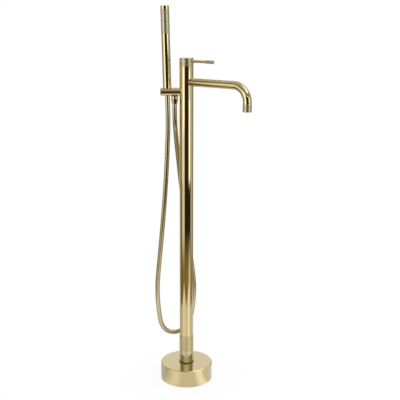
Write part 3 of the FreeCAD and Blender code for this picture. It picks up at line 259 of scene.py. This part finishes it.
def turned_mesh(name, points, faces):
    """Object from points and faces, its poles merged and its faces outwards."""
    same_place, no_length = 1e-7, 1e-8  # metres
    mesh = bpy.data.meshes.new(name)
    mesh.from_pydata(points.tolist(), [], faces.tolist())
    work = bmesh.new()
    work.from_mesh(mesh)
    bmesh.ops.remove_doubles(work, verts=work.verts, dist=same_place)
    bmesh.ops.dissolve_degenerate(work, dist=no_length, edges=work.edges)
    bmesh.ops.recalc_face_normals(work, faces=work.faces)
    work.to_mesh(mesh)
    work.free()
    made = bpy.data.objects.new(name, mesh)
    bpy.context.scene.collection.objects.link(made)
    return made


def dress(piece, node, body, material):
    """Let a new piece stand for one CAD node, on that node's body."""
    piece.data.materials.append(material)
    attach(piece, body)
    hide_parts(node)


# Pale brass after rolling: each small face is a mirror that points its own way,
# so the eye sees a grey gold shimmer. Lacquer dulls the valleys a little.
rolled_brass = metal(
    "knurled_brass", "#D4CCA8", "#C4BC96",
    patch=0.03, smooth=0.3, rough=0.38, haze=0.006, line=0.0008, depth=1e-6, coat=0.5,
)

# The foot's sleeve is lacquered warmer than the pieces that hands hold.
warm_rolled_brass = metal(
    "warm_knurled_brass", "#DACB98", "#CCBD86",
    patch=0.03, smooth=0.3, rough=0.38, haze=0.006, line=0.0008, depth=1e-6, coat=0.5,
)

SLEEVE_BORE = 0.02015
SLEEVE_LOW, SLEEVE_HIGH = 0.090, 0.136
foot_sleeve = knurled(
    "foot_sleeve_knurled",
    below=[(SLEEVE_BORE, SLEEVE_HIGH), (SLEEVE_BORE, SLEEVE_LOW)],  # up and down the bore
    radius=0.021,
    low=SLEEVE_LOW,
    high=SLEEVE_HIGH,
    above=[(SLEEVE_BORE, SLEEVE_HIGH)],
)
dress(foot_sleeve, "foot_sleeve", "stand", warm_rolled_brass)


# ---------------------------------------------------------------- valve body and pipes
# Two copper pipes carry hot and cold water up the column to the valve body. It is
# turned from brass and sits in the column's top, under its gland nut.

# Half hard copper tube, drawn bright and since gone brown in places.
copper = metal(
    "drawn_copper", "#C98A63", "#A3613F",
    patch=0.03, smooth=0.18, rough=0.34, haze=0.012, line=0.0008, depth=2e-6,
)
finish(copper, "hot_pipe", "cold_pipe")
finish(bare_brass, "valve_body", "gland_nut", "cartridge_spindle")


# ---------------------------------------------------------------- mixing cartridge
# A cartridge of moulded plastic mixes the water. It sits in the valve body, and
# the gland nut holds it down.

def moulded(name, light, deep, *, rough, grain, depth):
    """Moulded plastic or rubber: two near tones and an even grain of one size.

    Grain is the grain's size and depth its height, in metres. A real grain is
    under a tenth of a millimetre. It is drawn 0.3 to 0.5 mm, so that it shows.
    """
    material, tree, shader = new_material(name)
    place = add(tree, "ShaderNodeTexCoord").outputs["Object"]
    clouds_per_metre = 60.0
    cloud = add(
        tree,
        "ShaderNodeTexNoise",
        {"Scale": clouds_per_metre, "Detail": 3.0},
        {"Vector": place},
    )
    tone = add(
        tree,
        "ShaderNodeMix",
        {6: colour(light), 7: colour(deep)},
        {0: cloud.outputs["Fac"]},
        data_type="RGBA",
    )
    tree.links.new(tone.outputs[2], shader.inputs["Base Color"])
    pits = add(
        tree, "ShaderNodeTexNoise", {"Scale": 1 / grain, "Detail": 2.0}, {"Vector": place}
    )
    relief = add(
        tree,
        "ShaderNodeBump",
        {"Strength": 0.6, "Distance": depth},
        {"Height": pits.outputs["Fac"]},
    )
    tree.links.new(relief.outputs[0], shader.inputs["Normal"])
    shader.inputs["Roughness"].default_value = rough
    shader.inputs["IOR"].default_value = 1.48
    return material


# Acetal, injection moulded: off white and satin, with a fine spark eroded grain.
acetal = moulded("white_acetal", "#E4E2DA", "#D8D5CB", rough=0.38, grain=0.0004, depth=8e-6)
finish(acetal, "mixing_cartridge")


# ---------------------------------------------------------------- handle cap and lever
# The knurled cap grips the cartridge's spindle with a set screw. The lever is a
# polished rod with a knurled end.

cap = knurled(
    "handle_cap_knurled",
    # The spindle's socket, the boss round it and the inside of the skirt.
    below=[(0.0, 0.9575), (0.004, 0.9575), (0.004, 0.9435), (0.011, 0.9435), (0.011, 0.960),
           (0.017, 0.960), (0.017, 0.9423)],
    radius=0.020,
    low=0.9423,
    high=0.9654,
    above=[(0.0194, 0.966), (0.0, 0.966)],  # a chamfer and the flat top
)
dress(cap, "handle_cap", "lever", rolled_brass)
LEVER_HEIGHT = 0.957
TIP_START = 0.0728
lever_tip = knurled(
    "lever_tip_knurled",
    below=[(0.0, 0.012), (0.0025, 0.012), (0.0025, 0.0), (0.0045, 0.0)],  # the rod's socket
    radius=0.0051,
    low=0.0006,
    high=0.0256,
    above=[(0.0045, 0.0262), (0.0, 0.0262)],
    foot=(TIP_START, 0, LEVER_HEIGHT),
    axis=(1.0, 0.0, 0.0),
)
dress(lever_tip, "lever_tip", "lever", rolled_brass)
finish(polished, "lever_rod")


# ---------------------------------------------------------------- spout
# One bent tube, polished and lacquered, on a nipple with a rubber ring. Its end
# takes a knurled sleeve, and the aerator sits in that.

# Nitrile rubber, moulded: near black and matt.
rubber = moulded("black_rubber", "#22211F", "#191817", rough=0.62, grain=0.0003, depth=1e-5)
finish(polished, "spout_tube")
finish(bare_brass, "spout_nipple")
finish(rubber, "spout_seal")
SPOUT_REACH = 0.2175
OUTLET_HEIGHT = 0.8308
outlet_sleeve = knurled(
    "outlet_sleeve_knurled",
    # The bore, with its seat for the aerator.
    below=[(0.0085, 0.0238), (0.0085, 0.011), (0.010, 0.011), (0.010, 0.0), (0.012, 0.0)],
    radius=0.0124,
    low=0.0004,
    high=0.020,
    # The spigot that goes up into the tube.
    above=[(0.012, 0.0204), (0.0105, 0.0204), (0.0105, 0.0238), (0.0085, 0.0238)],
    foot=(SPOUT_REACH, 0.0, OUTLET_HEIGHT),
)
dress(outlet_sleeve, "outlet_sleeve", "stand", rolled_brass)
finish(acetal, "aerator")


# ---------------------------------------------------------------- handset holder
# A level bar saddled to the column, on a hollow stud. A plastic liner in its
# upright bore keeps the handset's nut from scratching.

finish(polished, "holder_arm")
finish(bare_brass, "holder_stud")
finish(acetal, "holder_liner")


# ---------------------------------------------------------------- hose outlet
# A threaded nipple points down from the holder. The hose's tapered nut screws on
# it over a washer, and the hose is crimped on the stem inside the nut.

finish(polished, "hose_nut")
finish(bare_brass, "outlet_nipple", "outlet_barb")
finish(rubber, "outlet_washer")


# ---------------------------------------------------------------- diverter
# A quarter turn cartridge behind the column, turned from brass, sends the water to
# the spout or to the handset. A polished collar hides its hole, and a knob with a
# knurled rim sits on its spindle.

finish(bare_brass, "diverter_cartridge", "diverter_spindle")
finish(polished, "diverter_collar")
DIVERTER_AXIS = (-math.sqrt(0.5), math.sqrt(0.5), 0.0)
DIVERTER_HEIGHT = 0.8715
KNOB_START = 0.0253  # from the column's axis
knob = knurled(
    "diverter_knob_knurled",
    below=[(0.0, 0.010), (0.003, 0.010), (0.003, 0.0), (0.0111, 0.0)],  # the spindle's socket
    radius=0.0115,
    low=0.0004,
    high=0.0152,
    above=[(0.0107, 0.016), (0.0, 0.016)],
    foot=(KNOB_START * DIVERTER_AXIS[0], KNOB_START * DIVERTER_AXIS[1], DIVERTER_HEIGHT),
    axis=DIVERTER_AXIS,
)
dress(knob, "diverter_knob", "diverter", rolled_brass)


# ---------------------------------------------------------------- handset
# A straight polished tube with a knurled grip and a polished ring at its top.
# Water leaves its top end through a face of soft jets. Its cone nut hangs in the
# holder and turns on the hose's swivel.

HANDSET_FOOT = np.array([-0.0383959, -0.0383959, 0.882])
LEAN = math.radians(1.5)
HANDSET_AXIS = np.array(
    [-math.sqrt(0.5) * math.sin(LEAN), -math.sqrt(0.5) * math.sin(LEAN), math.cos(LEAN)]
)
GRIP_BORE = 0.0111
GRIP_RIM = 0.01185
GRIP_LOW, GRIP_HIGH = 0.151, 0.2165
grip = knurled(
    "handset_grip_knurled",
    below=[(GRIP_BORE, GRIP_HIGH), (GRIP_BORE, GRIP_LOW), (GRIP_RIM, GRIP_LOW)],
    radius=0.01225,
    low=0.1514,
    high=0.2161,
    above=[(GRIP_RIM, GRIP_HIGH), (GRIP_BORE, GRIP_HIGH)],
    foot=HANDSET_FOOT,
    axis=HANDSET_AXIS,
)
dress(grip, "handset_grip", "handset", rolled_brass)
finish(polished, "handset_tube", "handset_ring")
# Silicone, moulded in one with its jets: grey, soft and matt.
silicone = moulded("grey_silicone", "#8E8D88", "#7D7C78", rough=0.55, grain=0.0005, depth=1e-5)
finish(silicone, "spray_face")
finish(acetal, "handset_waterway", "non_return_valve")
finish(rubber, "tail_washer")
finish(bare_brass, "cone_nut", "hose_swivel")


# ---------------------------------------------------------------- hose
# A hose of wound brass strip, 14 mm thick. It hangs from the outlet behind the
# column, turns in a loop over the base and climbs to the handset's nut.

HOSE_RADIUS = 0.007
RIB_PITCH = 0.003
RIB_DEPTH = 0.0001  # the photograph's hose reads nearly smooth
AROUND = 20
STEPS_PER_RIB = 6
# The solid hose's points, in millimetres. The two at each end follow from the nuts.
# The rest were listed from the photograph with a guessed depth, and a least squares fit
# to the hose's edges then moved those of the loop.
ROUTE = np.array([
    (-23.69, -23.69, 837.9),
    (-23.69, -23.69, 793.9),
    (-32.4, -10.3, 748.7),
    (-39.6, 8.8, 669.2),
    (-42.1, 25.3, 579.2),
    (-39.8, 36.9, 503.9),
    (-33.9, 44.8, 425.4),
    (-24.4, 50.7, 350.1),
    (-16.2, 54.0, 280.5),
    (-17.6, 51.5, 219.7),
    (-25.8, 48.1, 168.8),
    (-36.1, 37.5, 138.5),
    (-53.4, 18.0, 124.2),
    (-70.7, -5.8, 128.6),
    (-81.6, -23.6, 149.6),
    (-84.2, -32.8, 199.3),
    (-84.7, -38.6, 267.7),
    (-79.0, -37.5, 340.3),
    (-71.7, -35.0, 407.2),
    (-59.9, -35.1, 504.8),
    (-49.8, -34.1, 608.6),
    (-42.8, -34.5, 703.9),
    (-36.61, -36.61, 785.53),
    (-38.00, -38.00, 860.51),
]) / 1000
CARRIED = 0.1  # metres of hose that move wholly with the handset


def smooth_line(points):
    """Points along a smooth curve that the given points pull at."""
    curve = bpy.data.curves.new("hose_route", "CURVE")
    curve.dimensions = "3D"
    curve.resolution_u = 24
    spline = curve.splines.new("NURBS")
    spline.points.add(len(points) - 1)
    spline.points.foreach_set("co", np.c_[points, np.ones(len(points))].ravel())
    spline.order_u = 3
    spline.use_endpoint_u = True
    carrier = bpy.data.objects.new("hose_route", curve)
    bpy.context.scene.collection.objects.link(carrier)
    bpy.context.view_layer.update()
    mesh = bpy.data.meshes.new_from_object(carrier)
    line = np.empty(3 * len(mesh.vertices))
    mesh.vertices.foreach_get("co", line)
    bpy.data.objects.remove(carrier)
    bpy.data.curves.remove(curve)
    bpy.data.meshes.remove(mesh)
    return line.reshape(-1, 3)


def wound_hose(name, line):
    """Tube round a line, with one rounded rib wound round it from end to end.

    A point at a distance s along the line and an angle t round it is the line's
    point at s, plus the radius times cos t to the side and sin t upwards. The
    radius is full on the rib and a rib's depth less in the groove beside it,
    where s over the pitch less t over a turn is half a turn past a whole number.

    Returns the piece, each vertex's distance along it, and its length.
    """
    gaps = np.linalg.norm(np.diff(line, axis=0), axis=1)
    run = np.concatenate([[0], np.cumsum(gaps)])
    length = run[-1]
    rings = int(length / RIB_PITCH * STEPS_PER_RIB)
    along = np.linspace(0, length, rings)
    centre = np.stack([np.interp(along, run, line[:, k]) for k in range(3)], 1)
    ahead = np.gradient(centre, along, axis=0)
    ahead /= np.linalg.norm(ahead, axis=1)[:, None]
    side = np.array([0.75, -0.66, 0.0])  # level, and the hose never runs along it
    side = side - (ahead @ side)[:, None] * ahead
    side /= np.linalg.norm(side, axis=1)[:, None]
    up = np.cross(ahead, side)
    angle = np.arange(AROUND) * math.tau / AROUND
    phase = (along[:, None] / RIB_PITCH - angle / math.tau) % 1.0
    groove = np.clip(1 - np.abs(phase - 0.5) / 0.5, 0, 1)
    radius = HOSE_RADIUS - RIB_DEPTH * groove * groove * (3 - 2 * groove)
    points = (
        centre[:, None]
        + radius[..., None] * np.cos(angle)[:, None] * side[:, None]
        + radius[..., None] * np.sin(angle)[:, None] * up[:, None]
    )
    column = np.arange(AROUND)
    after = (column + 1) % AROUND
    ring = np.arange(rings - 1)[:, None] * AROUND
    a = (ring + column).ravel()
    b = (ring + after).ravel()
    quads = np.stack([a, b, b + AROUND, a + AROUND], 1)
    # The two ends are closed by triangles round a point in their middle.
    count = rings * AROUND
    last = count - AROUND
    start = np.stack([after, column, np.full(AROUND, count)], 1)
    end = np.stack([last + column, last + after, np.full(AROUND, count + 1)], 1)
    mesh = bpy.data.meshes.new(name)
    mesh.from_pydata(
        np.concatenate([points.reshape(-1, 3), centre[[0, -1]]]).tolist(),
        [],
        quads.tolist() + start.tolist() + end.tolist(),
    )
    mesh.polygons.foreach_set("use_smooth", np.ones(len(mesh.polygons), bool))
    made = bpy.data.objects.new(name, mesh)
    bpy.context.scene.collection.objects.link(made)
    return made, np.concatenate([np.repeat(along, AROUND), [0, length]]), length


hose_line = smooth_line(ROUTE)
hose, reach_along, hose_length = wound_hose("shower_hose_wound", hose_line)
# Brass strip, wound, polished and lacquered: softer than the tubes, and darker
# in the groove between the turns.
wound_brass = metal(
    "wound_brass_strip", "#DDD2AC", "#CCC094",
    patch=0.05, smooth=0.05, rough=0.1, haze=0.01, line=0.001, depth=1e-6, coat=0.4,
)
hose.data.materials.append(wound_brass)
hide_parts("shower_hose")
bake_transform(hose)
# Each vertex gets a share of give for when the handset is lifted: none before the loop's
# lowest point, rising in a smooth step to full where the handset carries the hose.
lowest = hose_line[:, 2].argmin() / len(hose_line) * hose_length
give = np.clip((reach_along - lowest) / (hose_length - CARRIED - lowest), 0, 1)
give = give * give * (3 - 2 * give)


# ---------------------------------------------------------------- studio
# White floor and backdrop under soft, even light. The brass mirrors them and the
# studio: a soft box to the left, a smaller one overhead to the right, a window with
# a rail, dark beams, the unlit room behind the camera and pools of light on the floor.

CAMERA_TURN = 42.0  # degrees, from straight in front of the spout's tube
BRIGHTEST = 1.8
# Each part is (first degree, last degree, brightness), to the right of the camera.
# They were tuned until the stripes in the brass lie about as in the photograph.
WALLS = [
    (-180, -168, 1.0),  # white backdrop
    (-150, -104, 0.45),  # grey wall
    (-99, -85, 0.05),  # dark doorway
    (-83, -60, 0.9),  # white wall
    (-53, -36, 1.8),  # soft box
    (-30, 36, 0.025),  # unlit room behind the camera
    (42, 58, 1.8),  # window
    (63, 104, 0.55),  # shaded wall
    (112, 150, 0.25),  # grey wall
    (168, 180, 1.0),  # white backdrop
]
# The window has a rail across it, and the soft box fades towards its foot.
WINDOW_RAIL = WALLS[:6] + [(42, 58, 0.4)] + WALLS[7:]
LOW_WALLS = WALLS[:4] + [(-53, -36, 1.0)] + WALLS[5:]
# The cove joins walls and beams, and the beams carry the ceiling.
COVE = [(-180, -125, 0.8), (-110, -50, 0.35), (-25, 30, 0.9), (55, 110, 0.35), (125, 180, 0.8)]
BEAMS = [(-180, -130, 0.6), (-105, 45, 0.15), (85, 110, 0.55), (130, 180, 0.6)]
CEILING = [
    (-180, -170, 0.6),
    (-150, -100, 0.5),
    (-60, 10, 0.4),
    (45, 95, 1.5),  # soft box overhead
    (115, 150, 0.7),
    (170, 180, 0.6),
]
POOL = [
    (-180, -75, 0.55),
    (-55, -40, 0.9),  # under the soft box
    (-20, 20, 0.75),
    (35, 50, 1.1),  # under the window
    (65, 120, 0.65),
    (160, 180, 0.55),
]
# Close to the base the two pools run together.
NEAR_POOL = [
    (-180, -75, 0.55),
    (-42, -30, 0.9),
    (-15, 25, 0.72),
    (40, 50, 1.1),
    (65, 120, 0.7),
    (160, 180, 0.55),
]
FLOOR = [
    (-180, -168, 0.8),  # before the backdrop
    (-150, -110, 0.4),
    (-95, -80, 0.15),  # before the doorway
    (-65, 30, 0.25),
    (50, 60, 0.8),  # under the window
    (75, 150, 0.3),
    (168, 180, 0.8),  # before the backdrop
]
FAR_FLOOR = [
    (-180, -168, 0.9),
    (-150, -104, 0.45),
    (-99, -85, 0.05),
    (-83, -60, 0.6),
    (-52, -36, 0.9),
    (-30, 62, 0.02),
    (86, 104, 0.55),
    (112, 150, 0.25),
    (168, 180, 0.9),
]
# The pool has a notch in front of the object. Beside the notch it reaches further
# out, by this share of the distance sideways.
NOTCH = 0.45
# An edge is where one list of parts starts to give way to the next, and where it
# has done so. On the walls both are sines of the angle above the horizon.
RAIL_FOOT = (-0.066, -0.06)
RAIL_TOP = (-0.028, -0.022)
COVE_FOOT = (0.33, 0.39)
BEAMS_FOOT = (0.44, 0.48)
CEILING_EDGE = (0.6, 0.68)
# On the floor both are metres from the object.
NEAR_POOL_EDGE = (0.18, 0.26)
POOL_EDGE = (0.6, 0.66)
TIMBER_EDGE = (0.95, 1.8)
LOW_WALLS_FOOT = (2.8, 3.1)
WALLS_FOOT = (4.6, 6.4)


def turned(tree, place):
    """Left to right and depth as the camera stands to the object."""
    turn = add(
        tree,
        "ShaderNodeMapping",
        {"Rotation": (0, 0, math.radians(-CAMERA_TURN))},
        {"Vector": place},
    )
    return add(tree, "ShaderNodeSeparateXYZ", links={0: turn.outputs[0]}).outputs


def room(tree, direction, parts, brown=0.4):
    """Colour by compass angle, from a list of parts that blend into each other.

    Unlit parts are timber. The blue that a part loses is brown times how far it
    falls short of half brightness, as a share of that half, and nine tenths at
    most. Green loses a third of that.
    """
    lit, most = 0.5, 0.9
    across = turned(tree, direction)
    back = add(tree, "ShaderNodeMath", {1: -1.0}, {0: across[1]}, operation="MULTIPLY")
    angle = add(
        tree,
        "ShaderNodeMath",
        links={0: across[0], 1: back.outputs[0]},
        operation="ARCTAN2",
    )
    share = add(
        tree,
        "ShaderNodeMapRange",
        {"From Min": -math.pi, "From Max": math.pi},
        {"Value": angle.outputs[0]},
    )
    ramp = add(tree, "ShaderNodeValToRGB", links={0: share.outputs[0]})
    stops = [(edge, level) for first, last, level in parts for edge in (first, last)]
    while len(ramp.color_ramp.elements) < len(stops):
        ramp.color_ramp.elements.new(0.5)
    for element, (degrees, level) in zip(ramp.color_ramp.elements, stops):
        element.position = degrees / 360 + 0.5
        lost = min(most, brown * max(0.0, 1 - level / lit))
        element.color = (*[c * level / BRIGHTEST for c in (1.0, 1 - lost / 3, 1 - lost)], 1)
    return ramp.outputs[0]


def fade(tree, value, edge, first, second):
    """First colour below an edge, second above it, and both across it."""
    share = add(
        tree,
        "ShaderNodeMapRange",
        {"From Min": edge[0], "From Max": edge[1]},
        {"Value": value},
        interpolation_type="SMOOTHSTEP",
    )
    both = add(
        tree,
        "ShaderNodeMix",
        links={0: share.outputs[0], 6: first, 7: second},
        data_type="RGBA",
    )
    return both.outputs[2]


world = bpy.data.worlds.new("studio")
bpy.context.scene.world = world
world.use_nodes = True
tree = world.node_tree
tree.nodes.clear()
direction = add(tree, "ShaderNodeTexCoord").outputs["Generated"]
height = add(tree, "ShaderNodeSeparateXYZ", links={0: direction}).outputs[2]
walls = room(tree, direction, WALLS)
level = fade(tree, height, RAIL_FOOT, walls, room(tree, direction, WINDOW_RAIL))
level = fade(tree, height, RAIL_TOP, level, walls)
level = fade(tree, height, COVE_FOOT, level, room(tree, direction, COVE))
level = fade(tree, height, BEAMS_FOOT, level, room(tree, direction, BEAMS))
level = fade(tree, height, CEILING_EDGE, level, room(tree, direction, CEILING))
mirrored = add(tree, "ShaderNodeBackground", {"Strength": BRIGHTEST}, {"Color": level})
plain = add(tree, "ShaderNodeBackground", {"Color": (1, 1, 1, 1), "Strength": 1.0})
ray = add(tree, "ShaderNodeLightPath")
sky = add(
    tree,
    "ShaderNodeMixShader",
    links={0: ray.outputs["Is Glossy Ray"], 1: plain.outputs[0], 2: mirrored.outputs[0]},
)
add(tree, "ShaderNodeOutputWorld", links={"Surface": sky.outputs[0]})

# The floor is white paper. Its mirror image shows the studio's floor in its place,
# and far out the walls' feet.
FLOOR_HALF = 6.0
FLOOR_DROP = 0.0002  # keeps it clear of the cover's underside
SHADOW_SHARE = 0.12  # how much of the floor's white takes the object's shadow
floor_mesh = bpy.data.meshes.new("floor")
corners = [(-1, -1), (1, -1), (1, 1), (-1, 1)]
floor_mesh.from_pydata(
    [(x * FLOOR_HALF, y * FLOOR_HALF, -FLOOR_DROP) for x, y in corners], [], [(0, 1, 2, 3)]
)
floor = bpy.data.objects.new("floor", floor_mesh)
bpy.context.scene.collection.objects.link(floor)
paper = bpy.data.materials.new("white_paper_floor")
paper.use_nodes = True
tree = paper.node_tree
tree.nodes.clear()
spot = add(tree, "ShaderNodeTexCoord").outputs["Object"]
away = add(tree, "ShaderNodeVectorMath", links={0: spot}, operation="LENGTH").outputs["Value"]
aside = add(tree, "ShaderNodeMath", links={0: turned(tree, spot)[0]}, operation="ABSOLUTE")
inward = add(tree, "ShaderNodeMath", {1: NOTCH}, {0: aside.outputs[0]}, operation="MULTIPLY")
front = add(tree, "ShaderNodeMath", links={0: away, 1: inward.outputs[0]}, operation="SUBTRACT")
edge = add(
    tree,
    "ShaderNodeMath",
    links={0: front.outputs[0], 1: aside.outputs[0]},
    operation="MAXIMUM",
)
timber = room(tree, spot, FLOOR, brown=1.4)
pool = fade(tree, away, NEAR_POOL_EDGE, room(tree, spot, NEAR_POOL), room(tree, spot, POOL))
level = fade(tree, edge.outputs[0], POOL_EDGE, pool, timber)
level = fade(tree, away, TIMBER_EDGE, level, room(tree, spot, FAR_FLOOR, brown=0.8))
level = fade(tree, away, LOW_WALLS_FOOT, level, room(tree, spot, LOW_WALLS))
level = fade(tree, away, WALLS_FOOT, level, room(tree, spot, WALLS))
mirrored = add(tree, "ShaderNodeEmission", {"Strength": BRIGHTEST}, {"Color": level})
white = add(tree, "ShaderNodeEmission", {"Strength": 1.0})
chalk = add(tree, "ShaderNodeBsdfDiffuse", {"Color": (1, 1, 1, 1)})
sheet = add(
    tree,
    "ShaderNodeMixShader",
    {0: SHADOW_SHARE},
    {1: white.outputs[0], 2: chalk.outputs[0]},
)
ray = add(tree, "ShaderNodeLightPath")
seen = add(
    tree,
    "ShaderNodeMixShader",
    links={0: ray.outputs["Is Glossy Ray"], 1: sheet.outputs[0], 2: mirrored.outputs[0]},
)
add(tree, "ShaderNodeOutputMaterial", links={"Surface": seen.outputs[0]})
floor.data.materials.append(paper)

# The camera is as high as the handset's top and looks down at the column's middle.
# Its place, tilt and lens were fitted to the object's edges in the photograph.
CAMERA_DISTANCE = 2.24909
CAMERA_HEIGHT = 1.08141
CAMERA_TILT = 13.134  # degrees below the horizon
CAMERA_LENS = 71.17  # mm
CAMERA_SHIFT = 0.0339  # share of the frame's width
turn = math.radians(CAMERA_TURN)
lens = bpy.data.cameras.new("camera")
lens.lens = CAMERA_LENS
lens.sensor_width = 36.0
lens.shift_x = CAMERA_SHIFT
camera = bpy.data.objects.new("camera", lens)
camera.location = (
    CAMERA_DISTANCE * math.sin(turn),
    -CAMERA_DISTANCE * math.cos(turn),
    CAMERA_HEIGHT,
)
camera.rotation_euler = (math.radians(90 - CAMERA_TILT), 0, turn)
bpy.context.scene.collection.objects.link(camera)
bpy.context.scene.camera = camera
bpy.context.scene.view_settings.view_transform = "Standard"
